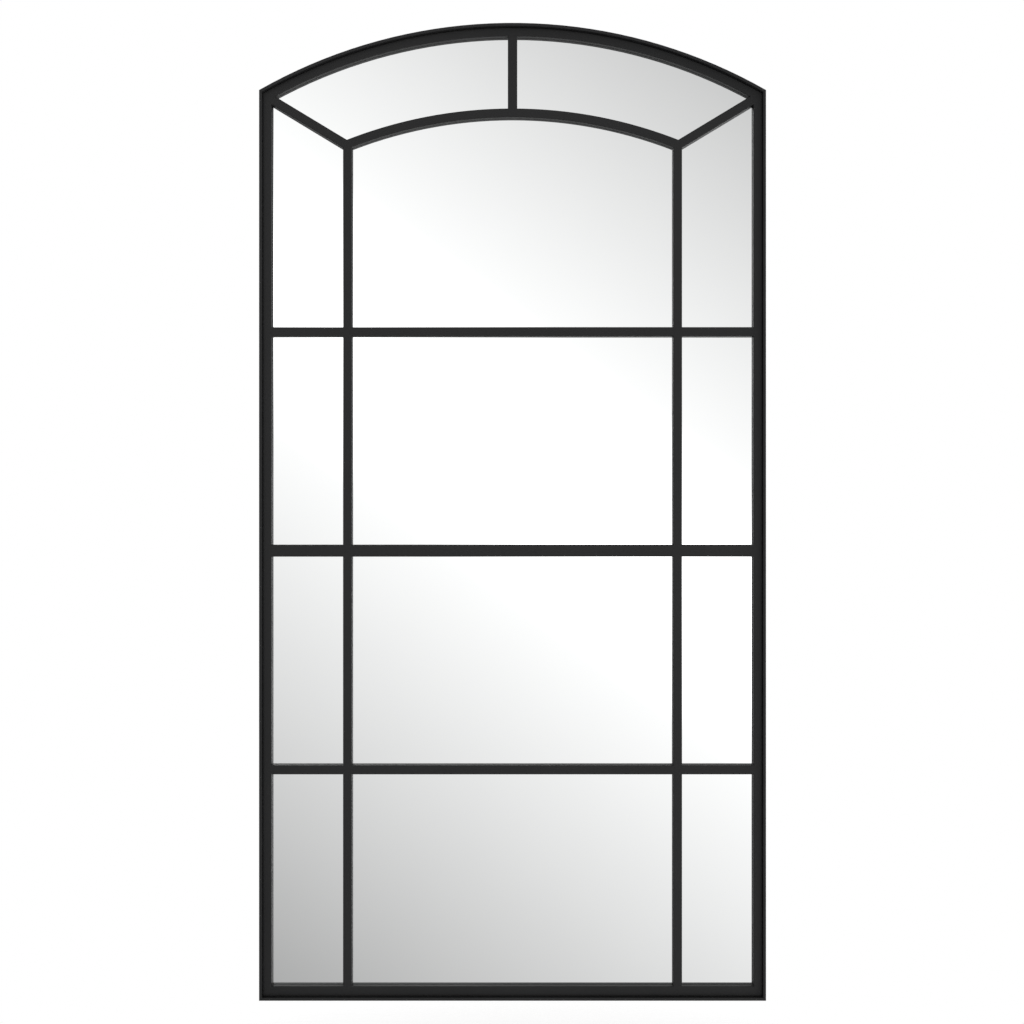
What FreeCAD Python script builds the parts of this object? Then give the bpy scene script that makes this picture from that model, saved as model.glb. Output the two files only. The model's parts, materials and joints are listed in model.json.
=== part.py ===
import FreeCAD, Part

import math
import os

from FreeCAD import Vector

# Arched window mirror for a wall: a welded grille of steel tube inside a hoop of flat bar, laid over
# one arched mirror sheet, with a tabbed-in backing board and two swinging hanger rings behind.
#
# Millimetres. The pieces are drawn with X to the right, Y from the front face towards the wall and
# Z up from the bottom edge, and are moved at the end so that the origin lies on the wall, midway
# between the two hooks that the rings hang on.

# ---------------------------------------------------------------- overall
overall_width = 914.0
overall_height = 1763.0
arch_rise = 121.0  # from the shoulders up to the crown

# ---------------------------------------------------------------- hoop of flat bar, set on edge
hoop_thickness = 5.0
hoop_lip = 10.0  # how far the hoop stands forward of the grille's faces
hoop_skirt = 3.0  # how far it reaches behind the board
hoop_edge_chamfer = 0.5

# ---------------------------------------------------------------- grille of steel tube
tube_depth = 11.0
tube_wall = 1.5
tube_corner_radius = 1.2  # front corners, each drawn as a few flats
tube_corner_flats = 2
stile_bar_width = 16.0
head_bar_width = 16.0
sill_bar_width = 18.0
muntin_width = 16.0
crossbar_width = 16.5
middle_crossbar_width = 21.5
crown_bar_width = 17.0

mullion_spacing = 597.5  # centre to centre
lower_crossbar_height = 414.5  # bottom edge to the bar's centre
crossbar_pitch = 396.5
inner_arch_radius = 815.5  # centre line
inner_arch_drop = 159.5  # outer crown down to the centre line
corner_bar_drop = 2.0  # how far the corner bars aim below the frame's inner corner and the mullion's top

# ---------------------------------------------------------------- mirror sheet and what holds it
tape_thickness = 1.0
tape_width = 6.0
tape_inset = 3.0  # from the glass edge
glass_thickness = 4.0
glass_inset = 3.0  # glass edge to hoop
setting_block_length = 40.0
setting_block_spacing = 440.0
foam_pad_size = 10.0

# ---------------------------------------------------------------- backing board and its tabs
board_thickness = 9.0
board_clearance = 1.5  # board edge to hoop
tab_thickness = 1.2
tab_width = 16.0
tab_foot = 13.0  # from the hoop in over the board
tab_leg_start = 2.0  # behind the glass's back face
side_tab_margin = 120.0  # from the bottom edge and from the shoulder
side_tab_count = 4
sill_tab_spacing = 330.0
sill_tab_count = 3
head_tab_angle = 15.0  # degrees between tabs, seen from the arch's centre
head_tab_count = 3

# ---------------------------------------------------------------- hangers
hanger_spacing = 660.0
hanger_shoulder_drop = 247.0  # shoulders down to the eye
strap_width = 16.0
strap_thickness = 2.0
strap_screw_count = 3
strap_screw_pitch = 13.0
first_strap_screw = 31.0  # from the eye
screw_length = 9.0  # under the head, through the strap and into the board
screw_shank_radius = 1.75
screw_hole_clearance = 0.15
screw_head_radius = 3.4
screw_head_height = 2.2
ring_wire_radius = 2.0
ring_wire_flats = 6
ring_half_width = 13.0  # wire centre line
ring_corner_radius = 3.5
ring_leg_length = 8.0
ring_clearance = 0.3  # round the wire in the eye

# ---------------------------------------------------------------- wall bumpers
bumper_size = 22.0
bumper_height = 9.0
bumper_edge_chamfer = 2.0
bumper_side_inset = 50.0  # from the overall width
bumper_bottom_height = 60.0
bumper_shoulder_drop = 80.0  # below the shoulders

# ---------------------------------------------------------------- derived planes and arcs
half_width = overall_width / 2
shoulder_height = overall_height - arch_rise
arch_radius = (half_width**2 + arch_rise**2) / (2 * arch_rise)
arch_centre_height = overall_height - arch_radius

inner_arch_crown = overall_height - inner_arch_drop
inner_arch_centre_height = inner_arch_crown - inner_arch_radius

grille_front = hoop_lip
grille_back = grille_front + tube_depth
glass_front = grille_back + tape_thickness
glass_back = glass_front + glass_thickness
board_back = glass_back + board_thickness
hoop_back = board_back + hoop_skirt
wall_plane = board_back + bumper_height

mullion_x = mullion_spacing / 2
crossbar_heights = {
    "lower": lower_crossbar_height,
    "middle": lower_crossbar_height + crossbar_pitch,
    "upper": lower_crossbar_height + 2 * crossbar_pitch,
}
crossbar_widths = {
    "lower": crossbar_width,
    "middle": middle_crossbar_width,
    "upper": crossbar_width,
}

eye_bore_radius = ring_wire_radius + ring_clearance
eye_outer_radius = eye_bore_radius + strap_thickness
eye_plane = board_back + eye_outer_radius
ring_reach = ring_leg_length + ring_half_width - ring_wire_radius  # eye to the ring's inner end
hanger_height = shoulder_height - hanger_shoulder_drop
hook_height = hanger_height + ring_reach

FAR = 2 * (overall_width + overall_height)
ACROSS = Vector(1, 0, 0)
TO_WALL = Vector(0, 1, 0)
UP = Vector(0, 0, 1)


# ---------------------------------------------------------------- plane geometry of the front view
def arc_height(x, radius, centre_height):
    """Height at which an arc centred on the middle line passes over x."""
    return centre_height + math.sqrt(radius**2 - x**2)


def frame_corner(side_inset, top_inset):
    """Where an upright line and an arc, each set in from the outline, cross at the shoulder."""
    x = half_width - side_inset
    return x, arc_height(x, arch_radius - top_inset, arch_centre_height)


def mirrored(points, side):
    return [(side * x, z) for x, z in points]


def slab(points, front=-FAR, back=FAR):
    """Straight-sided plate with the given front outline."""
    corners = [Vector(x, front, z) for x, z in points]
    face = Part.Face(Part.makePolygon(corners + corners[:1]))
    return face.extrude(TO_WALL * (back - front))


def beyond(start, end, side_point):
    """Everything on side_point's side of the line from start to end, as a large block."""
    dx, dz = end[0] - start[0], end[1] - start[1]
    length = math.hypot(dx, dz)
    along = (dx / length, dz / length)
    normal = (-along[1], along[0])
    offset = (side_point[0] - start[0]) * normal[0] + (side_point[1] - start[1]) * normal[1]
    depth = math.copysign(FAR, offset)
    near = [(start[0] + s * FAR * along[0], start[1] + s * FAR * along[1]) for s in (-1, 1)]
    far = [(x + depth * normal[0], z + depth * normal[1]) for x, z in reversed(near)]
    return slab(near + far)


# ---------------------------------------------------------------- bar sections and bars
def flat_face(points):
    """Face with the given outline in the XY plane."""
    corners = [Vector(x, y) for x, y in points]
    return Part.Face(Part.makePolygon(corners + corners[:1]))


def eased_section(low, high, front, back, front_radius, back_radius, flats):
    """Rectangle whose corners are eased, each by flats laid inside a quarter circle."""
    corners = [
        (low + front_radius, front + front_radius, front_radius, 180),
        (high - front_radius, front + front_radius, front_radius, 270),
        (high - back_radius, back - back_radius, back_radius, 0),
        (low + back_radius, back - back_radius, back_radius, 90),
    ]
    points = []
    for x, y, radius, start in corners:
        steps = flats if radius else 0
        for step in range(steps + 1):
            angle = math.radians(start + 90 * step / max(steps, 1))
            points.append((x + radius * math.cos(angle), y + radius * math.sin(angle)))
    return flat_face(points)


def straight(section, start, end):
    """Section run from start to end in the front view, its X turned across the run."""
    dx, dz = end[0] - start[0], end[1] - start[1]
    bar = section.extrude(UP * math.hypot(dx, dz))
    bar.rotate(Vector(), TO_WALL, math.degrees(math.atan2(dx, dz)))
    bar.translate(Vector(start[0], 0, start[1]))
    return bar


def arched(section, centre_height, half_angle):
    """Section, its X measured from the arc's centre, swept over the crown."""
    start = section.copy()
    start.rotate(Vector(), TO_WALL, half_angle - 90)
    bar = start.revolve(Vector(), -TO_WALL, 2 * half_angle)
    bar.translate(Vector(0, 0, centre_height))
    return bar


def hoop_section(low, high):
    return eased_section(low, high, 0, hoop_back, hoop_edge_chamfer, hoop_edge_chamfer, 1)


def tube_section(width, centre=0.0):
    low, high = centre - width / 2, centre + width / 2
    return eased_section(low, high, grille_front, grille_back, tube_corner_radius, 0, tube_corner_flats)


def bore_section(width, centre=0.0):
    low, high = centre - width / 2 + tube_wall, centre + width / 2 - tube_wall
    return eased_section(low, high, grille_front + tube_wall, grille_back - tube_wall, 0, 0, 0)


class Tube:
    """A grille bar: its outer form, kept for coping its neighbours, and its bore."""

    def __init__(self, outer, bore):
        self.outer = outer
        self.bore = bore

    @classmethod
    def straight(cls, width, start, end):
        return cls(straight(tube_section(width), start, end), straight(bore_section(width), start, end))

    @classmethod
    def arched(cls, width, radius, centre_height, half_angle):
        outer = arched(tube_section(width, radius), centre_height, half_angle)
        return cls(outer, arched(bore_section(width, radius), centre_height, half_angle))

    def keep(self, *regions):
        """Mitre the outer form to the given regions."""
        for region in regions:
            self.outer = self.outer.common(region)
        return self

    def cope(self, *neighbours):
        """Shape the ends to the neighbours' outer forms, over their rounded edges."""
        self.outer = self.outer.cut([n.outer for n in neighbours])
        return self

    def solid(self):
        return self.outer.cut(self.bore)


# ---------------------------------------------------------------- hoop
def hoop():
    outer_shoulder = frame_corner(0, 0)
    inner_shoulder = frame_corner(hoop_thickness, hoop_thickness)
    foot_mitre = [(half_width, 0), (half_width - hoop_thickness, hoop_thickness)]
    shoulder_mitre = [outer_shoulder, inner_shoulder]
    beside = (half_width, shoulder_height / 2)

    section = hoop_section(-hoop_thickness / 2, hoop_thickness / 2)
    pieces = {}
    for name, side in (("left", -1), ("right", 1)):
        x = side * (half_width - hoop_thickness / 2)
        bar = straight(section, (x, 0), (x, overall_height))
        for mitre in (foot_mitre, shoulder_mitre):
            bar = bar.common(beyond(*mirrored(mitre + [beside], side)))
        pieces[f"hoop_{name}"] = bar

    level = hoop_thickness / 2
    bottom = straight(section, (-half_width, level), (half_width, level))
    curved_section = hoop_section(arch_radius - hoop_thickness, arch_radius)
    top = arched(curved_section, arch_centre_height, arch_half_angle())
    for side in (-1, 1):
        bottom = bottom.common(beyond(*mirrored(foot_mitre, side), (0, 0)))
        top = top.common(beyond(*mirrored(shoulder_mitre, side), (0, overall_height)))
    pieces["hoop_bottom"] = bottom
    pieces["hoop_arch"] = top
    return pieces


def arch_half_angle():
    """Half the hoop arch's angle, with a little over for the mitres."""
    spare = 2.0
    return math.degrees(math.asin(half_width / arch_radius)) + spare


# ---------------------------------------------------------------- grille
def perimeter_tubes():
    """Stile, sill and head bars, mitred where they meet."""
    foot = [
        (half_width - hoop_thickness, hoop_thickness),
        (half_width - hoop_thickness - stile_bar_width, hoop_thickness + sill_bar_width),
    ]
    shoulder = [
        frame_corner(hoop_thickness, hoop_thickness),
        inner_frame_corner(),
    ]
    beside = (half_width, shoulder_height / 2)
    tubes = {}
    for name, side in (("left", -1), ("right", 1)):
        x = side * (half_width - hoop_thickness - stile_bar_width / 2)
        tube = Tube.straight(stile_bar_width, (x, 0), (x, overall_height))
        for mitre in (foot, shoulder):
            tube.keep(beyond(*mirrored(mitre + [beside], side)))
        tubes[f"stile_bar_{name}"] = tube

    level = hoop_thickness + sill_bar_width / 2
    sill = Tube.straight(sill_bar_width, (-half_width, level), (half_width, level))
    head_radius = arch_radius - hoop_thickness - head_bar_width / 2
    head = Tube.arched(head_bar_width, head_radius, arch_centre_height, arch_half_angle())
    for side in (-1, 1):
        sill.keep(beyond(*mirrored(foot, side), (0, 0)))
        head.keep(beyond(*mirrored(shoulder, side), (0, overall_height)))
    tubes["sill_bar"] = sill
    tubes["head_bar"] = head
    return tubes


def inner_frame_corner():
    """The corner between a stile bar's inner edge and the head bar's."""
    return frame_corner(hoop_thickness + stile_bar_width, hoop_thickness + head_bar_width)


def mullion_top():
    """Height at which the inner arch's centre line meets the mullions'."""
    return arc_height(mullion_x, inner_arch_radius, inner_arch_centre_height)


def inner_arch_tubes(perimeter):
    """Mullions from the sill up, and the inner arch mitred onto their tops."""
    sill_centre = hoop_thickness + sill_bar_width / 2
    top = mullion_top()
    arch_slope = math.asin(mullion_x / inner_arch_radius)
    # the mitre halves the turn from straight up to the arch's direction at its end
    mitre_turn = (math.pi / 2 - arch_slope) / 2 + arch_slope
    mitre = [(mullion_x, top), (mullion_x + math.sin(mitre_turn), top + math.cos(mitre_turn))]

    half_angle = math.degrees(arch_slope) + math.degrees(muntin_width / inner_arch_radius)
    arch = Tube.arched(muntin_width, inner_arch_radius, inner_arch_centre_height, half_angle)
    tubes = {}
    for name, side in (("left", -1), ("right", 1)):
        x = side * mullion_x
        mullion = Tube.straight(muntin_width, (x, sill_centre), (x, top + muntin_width))
        mullion.keep(beyond(*mirrored(mitre + [(mullion_x, 0)], side)))
        tubes[f"mullion_{name}"] = mullion.cope(perimeter["sill_bar"])
        arch.keep(beyond(*mirrored(mitre, side), (0, overall_height)))
    tubes["inner_arch_bar"] = arch
    return tubes


def corner_tubes(perimeter, inner):
    """Slanted bars from the frame's upper corners down to the ends of the inner arch."""
    corner_x, corner_z = inner_frame_corner()
    low_end = (mullion_x, mullion_top() - corner_bar_drop)
    aim = (corner_x, corner_z - corner_bar_drop)
    reach = stile_bar_width / 2 / math.hypot(aim[0] - low_end[0], aim[1] - low_end[1])
    high_end = tuple(a + reach * (a - b) for a, b in zip(aim, low_end))
    tubes = {}
    for name, side in (("left", -1), ("right", 1)):
        tube = Tube.straight(muntin_width, *mirrored([low_end, high_end], side))
        tube.cope(perimeter[f"stile_bar_{name}"], perimeter["head_bar"])
        tube.cope(inner[f"mullion_{name}"], inner["inner_arch_bar"])
        tubes[f"corner_bar_{name}"] = tube
    return tubes


def crown_tube(perimeter, inner):
    """Short upright between the inner arch and the head bar."""
    head_centre = overall_height - hoop_thickness - head_bar_width / 2
    tube = Tube.straight(crown_bar_width, (0, inner_arch_crown), (0, head_centre))
    return {"crown_bar": tube.cope(perimeter["head_bar"], inner["inner_arch_bar"])}


def crossbar_tubes(perimeter, inner):
    """Three rows, each of three lengths fitted between the stile bars and the mullions."""
    stile_x = half_width - hoop_thickness - stile_bar_width / 2
    uprights = [
        (-stile_x, perimeter["stile_bar_left"]),
        (-mullion_x, inner["mullion_left"]),
        (mullion_x, inner["mullion_right"]),
        (stile_x, perimeter["stile_bar_right"]),
    ]
    tubes = {}
    for row, height in crossbar_heights.items():
        for place, (start, end) in zip(("left", "centre", "right"), zip(uprights, uprights[1:])):
            tube = Tube.straight(crossbar_widths[row], (start[0], height), (end[0], height))
            tubes[f"{row}_crossbar_{place}"] = tube.cope(start[1], end[1])
    return tubes


# ---------------------------------------------------------------- sheets inside the hoop
def arched_plate(inset, front, back):
    """Plate that follows the hoop's inner face at the given distance."""
    x = half_width - hoop_thickness - inset
    low = hoop_thickness + inset
    radius = arch_radius - hoop_thickness - inset
    high = arc_height(x, radius, arch_centre_height)
    crown = Vector(0, front, arch_centre_height + radius)
    corners = [Vector(px, front, pz) for px, pz in ((x, high), (x, low), (-x, low), (-x, high))]
    edges = [Part.LineSegment(a, b).toShape() for a, b in zip(corners, corners[1:])]
    edges.append(Part.Arc(corners[3], crown, corners[0]).toShape())
    return Part.Face(Part.Wire(Part.__sortEdges__(edges))).extrude(TO_WALL * (back - front))


def rod(radius, x, z, front, back):
    return Part.makeCylinder(radius, back - front, Vector(x, front, z), TO_WALL)


def block(x, z, width, height, front, back):
    return Part.makeBox(width, back - front, height, Vector(x, front, z))


def strap_screw_places():
    places = []
    for side in (-1, 1):
        for step in range(strap_screw_count):
            drop = first_strap_screw + step * strap_screw_pitch
            places.append((side * hanger_spacing / 2, hanger_height - drop))
    return places


def glazing():
    outer_tape = glass_inset + tape_inset
    tape = arched_plate(outer_tape, grille_back, glass_front)
    opening = arched_plate(outer_tape + tape_width, grille_back, glass_front)

    half_pad = foam_pad_size / 2
    pads = [
        block(x - half_pad, height - half_pad, foam_pad_size, foam_pad_size, grille_back, glass_front)
        for height in crossbar_heights.values()
        for x in (-mullion_x, mullion_x)
    ]
    half_block = setting_block_length / 2
    blocks = [
        block(x - half_block, hoop_thickness, setting_block_length, glass_inset, glass_front, glass_back)
        for x in (-setting_block_spacing / 2, setting_block_spacing / 2)
    ]
    return {
        "perimeter_tape": tape.cut(opening),
        "foam_pads": Part.makeCompound(pads),
        "setting_blocks": Part.makeCompound(blocks),
        "mirror_sheet": arched_plate(glass_inset, glass_front, glass_back),
    }


def backing_board():
    board = arched_plate(board_clearance, glass_back, board_back)
    bite = board_back + strap_thickness - screw_length
    pilots = [rod(screw_shank_radius, x, z, bite, board_back) for x, z in strap_screw_places()]
    return {"backing_board": board.cut(pilots)}


def tab_section(hoop_face):
    """Bent tab: a leg in the gap beside the board and a foot over the board's back."""
    start = glass_back + tab_leg_start
    foot_back = board_back + tab_thickness
    return flat_face(
        [
            (hoop_face, start),
            (hoop_face, foot_back),
            (hoop_face - tab_foot, foot_back),
            (hoop_face - tab_foot, board_back),
            (hoop_face - tab_thickness, board_back),
            (hoop_face - tab_thickness, start),
        ]
    )


def board_tabs():
    """Tabs welded inside the hoop and bent over the board: sides, sill, then arch."""
    section = tab_section(0)
    half = tab_width / 2
    side_x = half_width - hoop_thickness
    run = shoulder_height - 2 * side_tab_margin
    tabs = []
    for step in range(side_tab_count):
        height = side_tab_margin + run * step / (side_tab_count - 1)
        tabs.append(straight(section, (side_x, height - half), (side_x, height + half)))
        tabs.append(straight(section, (-side_x, height + half), (-side_x, height - half)))
    for step in range(sill_tab_count):
        x = (step - (sill_tab_count - 1) / 2) * sill_tab_spacing
        tabs.append(straight(section, (x - half, hoop_thickness), (x + half, hoop_thickness)))
    inner_radius = arch_radius - hoop_thickness
    curved = arched(tab_section(inner_radius), arch_centre_height, math.degrees(half / inner_radius))
    for step in range(head_tab_count):
        tab = curved.copy()
        turn = (step - (head_tab_count - 1) / 2) * head_tab_angle
        tab.rotate(Vector(0, 0, arch_centre_height), TO_WALL, turn)
        tabs.append(tab)
    return {"board_tabs": Part.makeCompound(tabs)}


# ---------------------------------------------------------------- hangers
def hanger_strap(x):
    """Strap lying on the board, its upper end rolled into an eye round the ring's straight side."""
    last_screw = first_strap_screw + (strap_screw_count - 1) * strap_screw_pitch
    outline = slab(
        [
            (x - strap_width / 2, hanger_height + eye_outer_radius),
            (x + strap_width / 2, hanger_height + eye_outer_radius),
            (x + strap_width / 2, hanger_height - last_screw),
            (x - strap_width / 2, hanger_height - last_screw),
        ],
        board_back,
        wall_plane,
    )
    outline = outline.fuse(rod(strap_width / 2, x, hanger_height - last_screw, board_back, wall_plane))

    low = hanger_height - last_screw - strap_width / 2
    strap_back = board_back + strap_thickness
    plate = block(x - strap_width / 2, low, strap_width, hanger_height - low, board_back, strap_back)
    eye_start = Vector(x - strap_width / 2, eye_plane, hanger_height)
    eye = Part.makeCylinder(eye_outer_radius, strap_width, eye_start, ACROSS)
    bore = Part.makeCylinder(eye_bore_radius, strap_width, eye_start, ACROSS)
    hole_radius = screw_shank_radius + screw_hole_clearance
    holes = [
        rod(hole_radius, px, pz, board_back, strap_back)
        for px, pz in strap_screw_places()
        if px * x > 0
    ]
    return plate.common(outline).fuse(eye).cut([bore] + holes).removeSplitter()


def wire_section(centre, run):
    """Round wire cut across its run, drawn with a few flats."""
    across = TO_WALL.cross(run)
    corners = []
    for step in range(ring_wire_flats):
        angle = 2 * math.pi * step / ring_wire_flats
        offset = TO_WALL * math.sin(angle) + across * math.cos(angle)
        corners.append(centre + offset * ring_wire_radius)
    return Part.Face(Part.makePolygon(corners + corners[:1]))


def hanger_ring(x):
    """D-shaped wire ring hanging straight down from its eye."""
    centre = Vector(x, eye_plane, hanger_height)
    half_bar = ring_half_width - ring_corner_radius
    bend_centre = centre + ACROSS * half_bar - UP * ring_corner_radius
    leg_top = centre + ACROSS * ring_half_width - UP * ring_corner_radius
    bow_centre = centre - UP * ring_leg_length
    bow_start = bow_centre + ACROSS * ring_half_width
    half_ring = [
        wire_section(centre, ACROSS).extrude(ACROSS * half_bar),
        wire_section(centre + ACROSS * half_bar, ACROSS).revolve(bend_centre, TO_WALL, 90),
        wire_section(leg_top, -UP).extrude(-UP * (ring_leg_length - ring_corner_radius)),
        wire_section(bow_start, -UP).revolve(bow_centre, TO_WALL, 90),
    ]
    other_half = [piece.mirror(centre, ACROSS) for piece in half_ring]
    return half_ring[0].fuse(half_ring[1:] + other_half).removeSplitter()


def pan_screw(x, z):
    """Screw driven through a strap from the wall side."""
    seat = board_back + strap_thickness
    head = rod(screw_head_radius, x, z, seat, seat + screw_head_height)
    return head.fuse(rod(screw_shank_radius, x, z, seat - screw_length, seat))


def hangers():
    pieces = {}
    for name, side in (("left", -1), ("right", 1)):
        x = side * hanger_spacing / 2
        pieces[f"hanger_strap_{name}"] = hanger_strap(x)
        pieces[f"hanger_ring_{name}"] = hanger_ring(x)
    pieces["hanger_screws"] = Part.makeCompound([pan_screw(x, z) for x, z in strap_screw_places()])
    return pieces


# ---------------------------------------------------------------- bumpers
def bumper(x, z):
    """Square rubber pad with broken edges where it meets the wall."""
    half = bumper_size / 2
    pad = block(x - half, z - half, bumper_size, bumper_size, board_back, wall_plane)
    rim = [e for e in pad.Edges if abs(e.CenterOfMass.y - wall_plane) < 1e-6]
    return pad.makeChamfer(bumper_edge_chamfer, rim)


def bumpers():
    x = half_width - bumper_side_inset
    heights = {"lower": bumper_bottom_height, "upper": shoulder_height - bumper_shoulder_drop}
    return {
        f"bumper_{level}_{name}": bumper(side * x, height)
        for level, height in heights.items()
        for name, side in (("left", -1), ("right", 1))
    }


# ---------------------------------------------------------------- the whole mirror
def build():
    perimeter = perimeter_tubes()
    inner = inner_arch_tubes(perimeter)
    tubes = {**perimeter, **inner, **corner_tubes(perimeter, inner)}
    tubes.update(crown_tube(perimeter, inner))
    tubes.update(crossbar_tubes(perimeter, inner))

    pieces = hoop()
    pieces.update((name, tube.solid()) for name, tube in tubes.items())
    for group in (glazing, backing_board, board_tabs, hangers, bumpers):
        pieces.update(group())
    return pieces


def single_solids(shape):
    """The bare solids of a shape, as one solid or one compound."""
    solids = shape.Solids
    return solids[0] if len(solids) == 1 else Part.makeCompound(solids)


os.makedirs("parts", exist_ok=True)
to_origin = Vector(0, -wall_plane, -hook_height)
for node, piece in build().items():
    placed = single_solids(piece)
    placed.translate(to_origin)
    placed.exportStep(f"parts/{node}.step")
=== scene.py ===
import json
import math

import bmesh
import bpy
from mathutils import Matrix, Vector


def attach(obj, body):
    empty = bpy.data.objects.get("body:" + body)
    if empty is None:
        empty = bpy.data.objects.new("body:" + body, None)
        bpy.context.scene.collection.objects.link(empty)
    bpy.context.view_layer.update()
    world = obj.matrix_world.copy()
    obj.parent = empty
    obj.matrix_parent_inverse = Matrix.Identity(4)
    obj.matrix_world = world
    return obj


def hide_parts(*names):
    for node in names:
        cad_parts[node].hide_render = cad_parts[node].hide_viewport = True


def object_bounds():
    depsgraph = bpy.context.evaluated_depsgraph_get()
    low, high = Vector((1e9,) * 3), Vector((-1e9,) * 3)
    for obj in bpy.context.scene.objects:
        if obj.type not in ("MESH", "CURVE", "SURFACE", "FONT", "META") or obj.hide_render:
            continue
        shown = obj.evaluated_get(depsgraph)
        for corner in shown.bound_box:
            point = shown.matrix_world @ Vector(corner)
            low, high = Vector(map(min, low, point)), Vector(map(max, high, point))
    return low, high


# Arched window mirror: a satin black steel grille over one mirror sheet, seen square on in a white
# studio. Metres, in the frame's own axes: X right, -Y towards the viewer, Z up.

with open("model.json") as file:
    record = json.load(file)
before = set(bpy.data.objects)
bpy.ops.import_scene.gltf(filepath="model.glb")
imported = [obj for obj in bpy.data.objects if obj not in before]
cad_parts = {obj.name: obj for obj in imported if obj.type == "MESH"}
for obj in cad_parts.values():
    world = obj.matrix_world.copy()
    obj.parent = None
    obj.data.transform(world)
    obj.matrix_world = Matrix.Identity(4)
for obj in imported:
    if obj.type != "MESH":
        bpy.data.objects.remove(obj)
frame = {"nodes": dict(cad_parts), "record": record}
cad_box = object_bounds()
nodes = frame["nodes"]

# ---------------------------------------------------------------- the photograph's view
PHOTO_SIDE_PX = 1024
OUTLINE_LEFT_PX = 259.0
OUTLINE_RIGHT_PX = 766.1
OUTLINE_TOP_PX = 22.8
OUTLINE_BOTTOM_PX = 1000.85
VIEW_DISTANCE = 2.705  # from the frame's front face
SENSOR_WIDTH = 36.0  # millimetres

# ---------------------------------------------------------------- light
SILVER = (0.915, 0.922, 0.92)
ROOM_PEAK = 1.167  # tone in the middle of the band before the core gain, where white is 1
ROOM_FALLOFF = 1.61  # tone lost per unit of slope away from the bright band
ROOM_BAND_RISE = 0.0385  # slope at which the band passes over the view's centre
ROOM_BAND_TILT = 0.73  # the band climbs this much to the left for each step across
ROOM_CORE_GAIN = 8.0  # what is past white is added this many times more, as a bright core
ROOM_SHADE = 0.40  # the darkest that the room gets
ROOM_SHADE_BLEND = 0.12  # span of tone over which it eases into that shade
ROOM_WHITE = 1.0  # the room away from what the sheet shows
ROOM_SIDE = 0.75  # how much brighter the room in front is at the right, and dimmer at the left
# How far ahead a direction points, from 0 across the view to 1 straight ahead.
LEAST_AHEAD = 0.4  # slopes are taken over no less than this, so that they stay finite
BAND_AHEAD = (0.55, 0.88)  # from where the band is not seen at all to where only the band is
SIDE_AHEAD = (0.0, 0.3)  # from where the two sides are alike to where they differ fully

# ---------------------------------------------------------------- surfaces
RAMP_START, RAMP_END = 0.3, 0.7  # the texture values that a colour or roughness is spread over
FOAM_RAMP = (0.1, 0.8)
HAZED_SHARE = 0.995  # what the haziest spots of the sheet keep of the silver's colour
PLAIN = (1.0, 1.0, 1.0)  # a grain that runs no way in particular
ZINC_DARK, ZINC_LIGHT = (0.5, 0.505, 0.52), (0.66, 0.665, 0.68)
SCREW_ZINC_DARK, SCREW_ZINC_LIGHT = (0.46, 0.455, 0.45), (0.62, 0.61, 0.6)

# ------------------------------------------------ hanger hardware, where the frame has it
HANGER_HALF_SPACING = 0.330
EYE_DEPTH = -0.0047
EYE_HEIGHT = -0.019
STRAP_BACK = -0.007  # the straps' face towards the wall
WIRE_RADIUS = 0.002
WIRE_SIDES = 20
RING_HALF_WIDTH = 0.013
RING_CORNER_RADIUS = 0.0035
RING_LEG_LENGTH = 0.008
RING_STEP = 7.5  # degrees of bend to each piece of wire
STRAP_SCREWS = 3
FIRST_SCREW = 0.031  # from the eye
SCREW_PITCH = 0.013
SCREW_LENGTH = 0.009
SCREW_TAPER = 0.0025  # length of the point
SCREW_SHANK_RADIUS = 0.00175
SCREW_HEAD_RADIUS = 0.0034
SCREW_HEAD_HEIGHT = 0.0022
# The head's outline from crown to rim, in shares of its radius and height.
SCREW_HEAD_CURVE = ((0.5, 0.99), (0.78, 0.92), (0.93, 0.76), (1.0, 0.5), (1.0, 0.14), (0.96, 0.0))
SCREW_SIDES = 40
SCREW_TURN = 0.65  # radians from one screw's stop to the next
RECESS_REACH = 0.0021  # half the length of one bar of the recess
RECESS_HALF = 0.00036  # half its width
RECESS_DEPTH = 0.0017
RECESS_LIFT = 0.0003  # how far the cutter stands out of the head, for a clean cut
RECESS_TAPER = 0.5  # share of the reach left at the bottom of the recess
SHARP_ANGLE = 40.0  # degrees between faces, past which an edge is drawn sharp

# ---------------------------------------------------------------- floor
FLOOR_DROP = 0.45  # below the mirror's lower edge, as it hangs
FLOOR_SOLID = 0.55  # radius out to which nothing shows through it
FLOOR_FADED = 1.35  # radius at which it has faded away
FLOOR_SIDES = 96
FLOOR_ROUGHNESS = 0.9
FLOOR_DARK, FLOOR_LIGHT = (0.86, 0.86, 0.86), (0.9, 0.9, 0.9)


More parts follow.
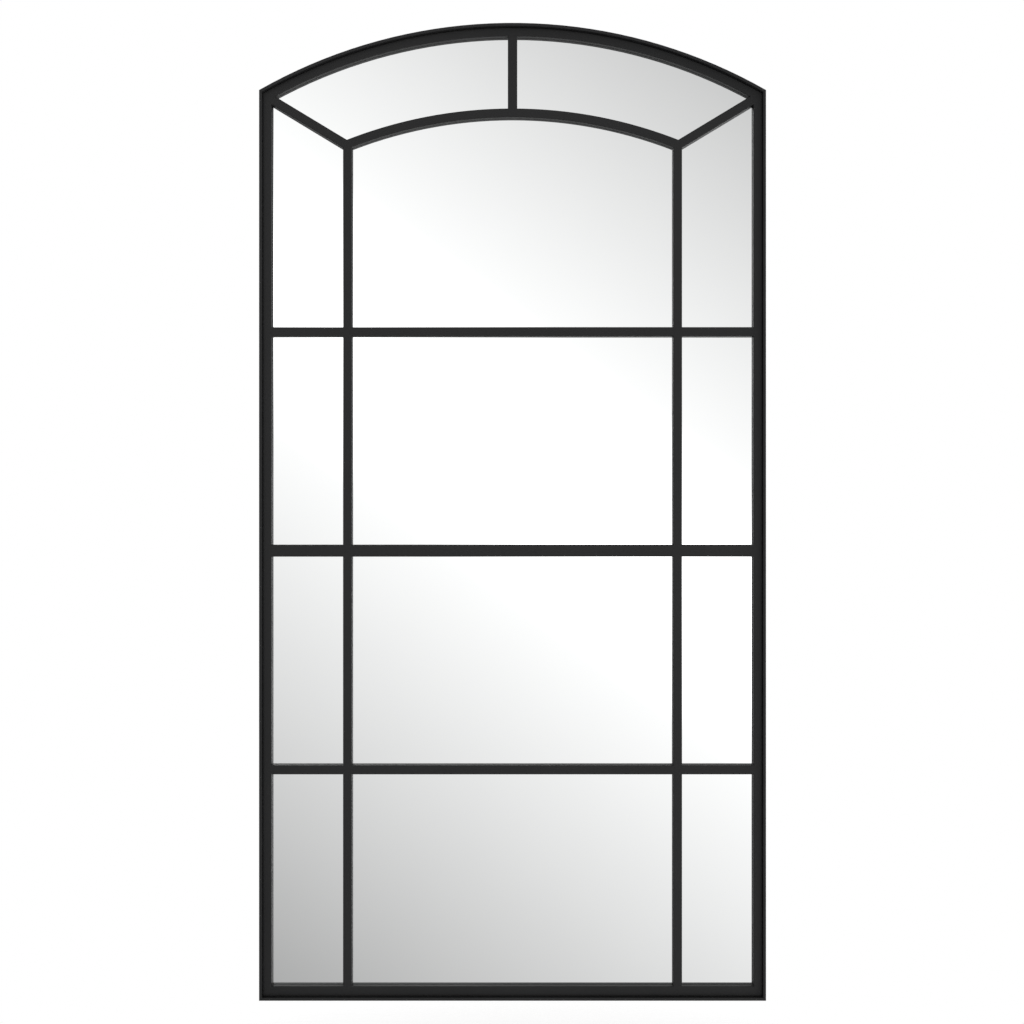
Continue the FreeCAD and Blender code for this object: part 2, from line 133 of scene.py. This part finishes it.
# ================================================================ shader building
class Surface:
    """A material with one Principled shader, and short calls for the nodes that feed it."""

    def __init__(self, name, **values):
        self.material = bpy.data.materials.new(name)
        self.material.use_nodes = True
        self.tree = self.material.node_tree
        self.shader = self.tree.nodes["Principled BSDF"]
        for socket, value in values.items():
            self.shader.inputs[socket.replace("_", " ")].default_value = value
        self.place = self.tree.nodes.new("ShaderNodeTexCoord").outputs["Object"]

    def link(self, output, target):
        self.tree.links.new(output, target)

    def drive(self, socket, output):
        self.link(output, self.shader.inputs[socket])

    def noise(self, scale, detail, stretch=PLAIN):
        """Noise of the given number of cells to the metre; stretch multiplies it by axis."""
        mapping = self.tree.nodes.new("ShaderNodeMapping")
        mapping.inputs["Scale"].default_value = stretch
        self.link(self.place, mapping.inputs["Vector"])
        texture = self.tree.nodes.new("ShaderNodeTexNoise")
        texture.inputs["Scale"].default_value = scale
        texture.inputs["Detail"].default_value = detail
        self.link(mapping.outputs["Vector"], texture.inputs["Vector"])
        return texture.outputs[0]

    def cells(self, scale):
        texture = self.tree.nodes.new("ShaderNodeTexVoronoi")
        texture.inputs["Scale"].default_value = scale
        self.link(self.place, texture.inputs["Vector"])
        return texture.outputs["Distance"]

    def spread(self, output, low, high, start=RAMP_START, end=RAMP_END):
        """The output's values between start and end, spread over low to high."""
        node = self.tree.nodes.new("ShaderNodeMapRange")
        self.link(output, node.inputs["Value"])
        sockets = ("From Min", "From Max", "To Min", "To Max")
        for socket, value in zip(sockets, (start, end, low, high)):
            node.inputs[socket].default_value = value
        return node.outputs["Result"]

    def tint(self, output, dark, light, start=RAMP_START, end=RAMP_END):
        """A colour that runs from dark to light with the output."""
        node = self.tree.nodes.new("ShaderNodeValToRGB")
        self.link(output, node.inputs["Fac"])
        for stop, position, colour in zip(node.color_ramp.elements, (start, end), (dark, light)):
            stop.position = position
            stop.color = (*colour, 1.0)
        return node.outputs["Color"]

    def bump(self, output, height, below=None):
        """Relief of the given height in metres, on top of another relief if there is one."""
        node = self.tree.nodes.new("ShaderNodeBump")
        node.inputs["Distance"].default_value = height
        self.link(output, node.inputs["Height"])
        if below is not None:
            self.link(below, node.inputs["Normal"])
        return node.outputs["Normal"]


def powder_coat():
    """Satin black powder coat: a fine orange peel, and slow drifts of gloss along the bars."""
    coat = Surface("powder_coat", Specular_IOR_Level=0.24)
    drift = coat.noise(scale=5.0, detail=3.0)
    grain = coat.noise(scale=900.0, detail=2.0)
    dark, light = (0.0105, 0.0105, 0.0109), (0.0140, 0.0140, 0.0145)
    coat.drive("Base Color", coat.tint(drift, dark, light))
    coat.drive("Roughness", coat.spread(drift, low=0.44, high=0.5))
    peel = coat.bump(coat.noise(scale=420.0, detail=3.0), height=0.00006)
    coat.drive("Normal", coat.bump(grain, height=0.00002, below=peel))
    return coat.material


def silvered_sheet():
    """The mirror, as a metal skin in the tint of silver behind float glass, with a faint haze."""
    sheet = Surface("silvered_sheet", Metallic=1.0)
    haze = sheet.noise(scale=6.0, detail=4.0)
    hazed = tuple(HAZED_SHARE * c for c in SILVER)
    sheet.drive("Base Color", sheet.tint(haze, hazed, SILVER))
    sheet.drive("Roughness", sheet.spread(haze, low=0.0, high=0.012))
    return sheet.material


def fibreboard():
    """Raw medium-density fibreboard: tan, with short pressed fibres."""
    board = Surface("fibreboard", Specular_IOR_Level=0.25)
    fibres = board.noise(scale=4200.0, detail=6.0, stretch=(1.0, 1.0, 0.55))
    wear = board.noise(scale=9.0, detail=3.0)
    dark, light = (0.265, 0.17, 0.098), (0.385, 0.258, 0.155)
    board.drive("Base Color", board.tint(fibres, dark, light))
    board.drive("Roughness", board.spread(wear, low=0.72, high=0.86))
    board.drive("Normal", board.bump(fibres, height=0.00008))
    return board.material


def cell_foam():
    foam = Surface("cell_foam", Specular_IOR_Level=0.2)
    cells = foam.cells(scale=1800.0)
    dark, light = (0.012, 0.012, 0.012), (0.035, 0.035, 0.035)
    foam.drive("Base Color", foam.tint(cells, dark, light, *FOAM_RAMP))
    foam.drive("Roughness", foam.spread(cells, low=0.85, high=0.98))
    foam.drive("Normal", foam.bump(cells, height=0.0002))
    return foam.material


def rubber():
    pad = Surface("rubber", Specular_IOR_Level=0.35)
    bloom = pad.noise(scale=160.0, detail=4.0)
    grain = pad.noise(scale=900.0, detail=2.0)
    dark, light = (0.016, 0.016, 0.016), (0.038, 0.037, 0.036)
    pad.drive("Base Color", pad.tint(bloom, dark, light))
    pad.drive("Roughness", pad.spread(bloom, low=0.62, high=0.8))
    pad.drive("Normal", pad.bump(grain, height=0.00005))
    return pad.material


def zinc(name, stretch, dark=ZINC_DARK, light=ZINC_LIGHT):
    """Bright zinc plate over steel, its grain drawn out along the axes stretched below 1."""
    plate = Surface(name, Metallic=1.0)
    grain = plate.noise(scale=1500.0, detail=3.0, stretch=stretch)
    clouds = plate.noise(scale=110.0, detail=3.0)
    plate.drive("Base Color", plate.tint(clouds, dark, light))
    plate.drive("Roughness", plate.spread(grain, low=0.26, high=0.42))
    plate.drive("Normal", plate.bump(grain, height=0.00002))
    return plate.material


def finish_nodes():
    """Each carried-over CAD node gets the finish of its material slot."""
    finishes = {
        "black_steel": powder_coat(),
        "mirror_sheet": silvered_sheet(),
        "backing_board": fibreboard(),
        "foam": cell_foam(),
        "rubber": rubber(),
        "zinc_plate": zinc("zinc_plate", stretch=(1.0, 1.0, 0.08)),
        "zinc_wire": zinc("zinc_wire", stretch=(0.3, 1.0, 0.3)),
        "zinc_screws": zinc("zinc_screws", PLAIN, SCREW_ZINC_DARK, SCREW_ZINC_LIGHT),
    }
    for part in frame["record"]["subparts"]:
        for holder in nodes[part["node"]].material_slots:
            holder.material = finishes[part["material_slot"]]
    return finishes


# ================================================================ hanger hardware
def placed(name, mesh, finish, body, replaced):
    """A smooth piece in its finish, standing for a node of the frame."""
    mesh.polygons.foreach_set("use_smooth", [True] * len(mesh.polygons))
    mesh.set_sharp_from_angle(angle=math.radians(SHARP_ANGLE))
    mesh.materials.append(finish)
    piece = bpy.data.objects.new(name, mesh)
    bpy.context.scene.collection.objects.link(piece)
    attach(piece, body)
    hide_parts(replaced)


def skin(form, loops, closed):
    """Faces between each loop of vertices and the next, and from last to first if closed."""
    pairs = list(zip(loops, loops[1:]))
    if closed:
        pairs.append((loops[-1], loops[0]))
    for here, there in pairs:
        for i in range(len(here)):
            j = (i + 1) % len(here)
            form.faces.new((here[i], here[j], there[j], there[i]))


def finished_mesh(name, form):
    bmesh.ops.recalc_face_normals(form, faces=form.faces)
    mesh = bpy.data.meshes.new(name)
    form.to_mesh(mesh)
    form.free()
    return mesh


def ring_mesh(name, eye):
    """Round wire bent to a D, its straight side on the eye's axis and its bow hanging below."""
    half_bar = RING_HALF_WIDTH - RING_CORNER_RADIUS
    arcs = (
        (half_bar, -RING_CORNER_RADIUS, RING_CORNER_RADIUS, 90, 0),
        (0.0, -RING_LEG_LENGTH, RING_HALF_WIDTH, 0, -180),
        (-half_bar, -RING_CORNER_RADIUS, RING_CORNER_RADIUS, 180, 90),
    )
    form = bmesh.new()
    loops = []
    for x, z, radius, start, end in arcs:
        steps = round(abs(end - start) / RING_STEP)
        for step in range(steps + 1):
            angle = math.radians(start + (end - start) * step / steps)
            outward = Vector((math.cos(angle), 0.0, math.sin(angle)))
            centre = eye + Vector((x, 0.0, z)) + outward * radius
            loop = []
            for side in range(WIRE_SIDES):
                turn = 2 * math.pi * side / WIRE_SIDES
                offset = outward * math.cos(turn) + Vector((0.0, math.sin(turn), 0.0))
                loop.append(form.verts.new(centre + offset * WIRE_RADIUS))
            loops.append(loop)
    skin(form, loops, closed=True)
    return finished_mesh(name, form)


def lathed(form, profile):
    """Solid turned about the Y axis from (radius, y) pairs that begin and end on the axis."""
    turns = [2 * math.pi * side / SCREW_SIDES for side in range(SCREW_SIDES)]
    loops = []
    for radius, y in profile[1:-1]:
        spots = [(radius * math.cos(turn), y, radius * math.sin(turn)) for turn in turns]
        loops.append([form.verts.new(spot) for spot in spots])
    skin(form, loops, closed=False)
    for loop, (_, y) in ((loops[0], profile[0]), (loops[-1], profile[-1])):
        tip = form.verts.new((0.0, y, 0.0))
        for i in range(SCREW_SIDES):
            form.faces.new((loop[i], loop[(i + 1) % SCREW_SIDES], tip))


def wing_cutter(turn):
    """One bar of a cross recess: a tapered blade pushed into the head from the wall side."""
    form = bmesh.new()
    ends = []
    for y, reach in ((0.0, RECESS_REACH), (-RECESS_DEPTH, RECESS_REACH * RECESS_TAPER)):
        end = []
        for sx, sz in ((-1, -1), (1, -1), (1, 1), (-1, 1)):
            end.append(form.verts.new((sx * reach, y + RECESS_LIFT, sz * RECESS_HALF)))
        ends.append(end)
    skin(form, ends, closed=False)
    for end in ends:
        form.faces.new(end)
    bmesh.ops.rotate(form, verts=form.verts, cent=(0, 0, 0), matrix=Matrix.Rotation(turn, 3, "Y"))
    cutter = bpy.data.objects.new("recess_cutter", finished_mesh("recess_cutter", form))
    bpy.context.scene.collection.objects.link(cutter)
    return cutter


def screw_mesh():
    """Pan-head screw with a cross recess, its head towards the wall and underside at y = 0."""
    form = bmesh.new()
    head = [(r * SCREW_HEAD_RADIUS, h * SCREW_HEAD_HEIGHT) for r, h in SCREW_HEAD_CURVE]
    shank = [(SCREW_SHANK_RADIUS, 0.0), (SCREW_SHANK_RADIUS, SCREW_TAPER - SCREW_LENGTH)]
    lathed(form, [(0.0, SCREW_HEAD_HEIGHT)] + head + shank + [(0.0, -SCREW_LENGTH)])
    blank = bpy.data.objects.new("screw_blank", finished_mesh("screw_blank", form))
    bpy.context.scene.collection.objects.link(blank)
    cutters = [wing_cutter(turn) for turn in (0.0, math.pi / 2)]
    for cutter in cutters:
        cutter.location.y = SCREW_HEAD_HEIGHT
        cut = blank.modifiers.new("recess", "BOOLEAN")
        cut.operation = "DIFFERENCE"
        cut.solver = "EXACT"
        cut.object = cutter
    seen = blank.evaluated_get(bpy.context.evaluated_depsgraph_get())
    mesh = bpy.data.meshes.new_from_object(seen)
    for helper in cutters + [blank]:
        bpy.data.objects.remove(helper)
    return mesh


def screws_mesh():
    """All the strap screws, each stopped at its own turn."""
    single = screw_mesh()
    form = bmesh.new()
    spots = [(side, step) for side in (-1, 1) for step in range(STRAP_SCREWS)]
    for index, (side, step) in enumerate(spots):
        before = len(form.verts)
        form.from_mesh(single)
        form.verts.ensure_lookup_table()
        fresh = form.verts[before:]
        turn = Matrix.Rotation(index * SCREW_TURN, 3, "Y")
        bmesh.ops.rotate(form, verts=fresh, cent=(0, 0, 0), matrix=turn)
        drop = FIRST_SCREW + step * SCREW_PITCH
        place = (side * HANGER_HALF_SPACING, STRAP_BACK, EYE_HEIGHT - drop)
        bmesh.ops.translate(form, verts=fresh, vec=place)
    mesh = bpy.data.meshes.new("strap_screws")
    form.to_mesh(mesh)
    form.free()
    return mesh


def hanger_hardware(finishes):
    """Rings of round wire and screws with recesses, in place of the plainer CAD ones."""
    wire, plated = finishes["zinc_wire"], finishes["zinc_screws"]
    for side, sign in (("left", -1), ("right", 1)):
        name = f"wire_ring_{side}"
        mesh = ring_mesh(name, Vector((sign * HANGER_HALF_SPACING, EYE_DEPTH, EYE_HEIGHT)))
        placed(name, mesh, wire, f"{side}_ring", f"hanger_ring_{side}")
    placed("strap_screws", screws_mesh(), plated, "frame", "hanger_screws")


# ================================================================ stage
def white_room():
    """The room's light: white behind the mirror, brighter at the right than at the left in front of
    it, and with a soft bright band straight ahead that the sheet mirrors."""
    world = bpy.data.worlds.new("white_room")
    world.use_nodes = True
    bpy.context.scene.world = world
    tree = world.node_tree

    def math_node(operation, *values):
        node = tree.nodes.new("ShaderNodeMath")
        node.operation = operation
        for socket, value in zip(node.inputs, values):
            if isinstance(value, bpy.types.NodeSocket):
                tree.links.new(value, socket)
            else:
                socket.default_value = value
        return node.outputs[0]

    direction = tree.nodes.new("ShaderNodeTexCoord").outputs["Generated"]
    axes = tree.nodes.new("ShaderNodeSeparateXYZ")
    tree.links.new(direction, axes.inputs[0])
    x, y, z = axes.outputs
    ahead = math_node("MULTIPLY", y, -1.0)

    def eased(start, end):
        """Rises smoothly from 0, where a direction points ahead by start, to 1 at end."""
        node = tree.nodes.new("ShaderNodeMapRange")
        node.interpolation_type = "SMOOTHSTEP"
        node.inputs["From Min"].default_value = start
        node.inputs["From Max"].default_value = end
        tree.links.new(ahead, node.inputs["Value"])
        return node.outputs[0]

    rise = math_node("ADD", z, math_node("MULTIPLY", x, ROOM_BAND_TILT))
    slope = math_node("DIVIDE", rise, math_node("MAXIMUM", ahead, LEAST_AHEAD))
    away = math_node("ABSOLUTE", math_node("SUBTRACT", slope, ROOM_BAND_RISE))
    tone = math_node("SUBTRACT", ROOM_PEAK, math_node("MULTIPLY", away, ROOM_FALLOFF))
    past_white = math_node("MAXIMUM", math_node("SUBTRACT", tone, 1.0), 0.0)
    lit = math_node("ADD", tone, math_node("MULTIPLY", past_white, ROOM_CORE_GAIN))
    band = math_node("DIVIDE", lit, sum(SILVER) / len(SILVER))

    share = eased(*BAND_AHEAD)
    side = math_node("MULTIPLY", math_node("MULTIPLY", x, ROOM_SIDE), eased(*SIDE_AHEAD))
    around = math_node("ADD", side, ROOM_WHITE)
    inside = math_node("MULTIPLY", band, share)
    outside = math_node("MULTIPLY", math_node("SUBTRACT", 1.0, share), around)
    mixed = math_node("ADD", inside, outside)
    strength = math_node("SMOOTH_MAX", mixed, ROOM_SHADE, ROOM_SHADE_BLEND)
    background = tree.nodes["Background"]
    tree.links.new(strength, background.inputs["Strength"])
    background.inputs["Color"].default_value = (1.0, 1.0, 1.0, 1.0)


def pale_floor():
    """A round pale floor below the hanging mirror that fades into the white room."""
    level = cad_box[0].z - FLOOR_DROP
    mesh = bpy.data.meshes.new("floor")
    disc = bmesh.new()
    bmesh.ops.create_circle(disc, cap_ends=True, radius=FLOOR_FADED, segments=FLOOR_SIDES)
    disc.to_mesh(mesh)
    disc.free()
    floor = bpy.data.objects.new("floor", mesh)
    floor.location = (0.0, 0.0, level)
    bpy.context.scene.collection.objects.link(floor)

    paint = Surface("pale_floor", Roughness=FLOOR_ROUGHNESS)
    clouds = paint.noise(scale=30.0, detail=3.0)
    paint.drive("Base Color", paint.tint(clouds, FLOOR_DARK, FLOOR_LIGHT))
    reach = paint.tree.nodes.new("ShaderNodeVectorMath")
    reach.operation = "LENGTH"
    paint.link(paint.place, reach.inputs[0])
    radius = reach.outputs["Value"]
    cover = paint.spread(radius, low=1.0, high=0.0, start=FLOOR_SOLID, end=FLOOR_FADED)
    paint.drive("Alpha", cover)
    mesh.materials.append(paint.material)


# ================================================================ camera
def camera():
    """Square on, with the outline where the photograph has it."""
    low, high = cad_box
    centre = (low + high) / 2
    metres_per_px = (high.x - low.x) / (OUTLINE_RIGHT_PX - OUTLINE_LEFT_PX)
    data = bpy.data.cameras.new("camera")
    data.sensor_width = SENSOR_WIDTH
    data.lens = SENSOR_WIDTH * VIEW_DISTANCE / (PHOTO_SIDE_PX * metres_per_px)
    centre_px = PHOTO_SIDE_PX / 2
    right_px = (OUTLINE_LEFT_PX + OUTLINE_RIGHT_PX) / 2 - centre_px
    down_px = (OUTLINE_TOP_PX + OUTLINE_BOTTOM_PX) / 2 - centre_px
    data.shift_x = -right_px / PHOTO_SIDE_PX
    data.shift_y = down_px / PHOTO_SIDE_PX
    eye = bpy.data.objects.new("camera", data)
    eye.location = (centre.x, low.y - VIEW_DISTANCE, centre.z)
    eye.rotation_euler = (math.pi / 2, 0.0, 0.0)
    bpy.context.scene.collection.objects.link(eye)
    bpy.context.scene.camera = eye


hanger_hardware(finish_nodes())
white_room()
pale_floor()
camera()
bpy.context.scene.view_settings.view_transform = "Standard"
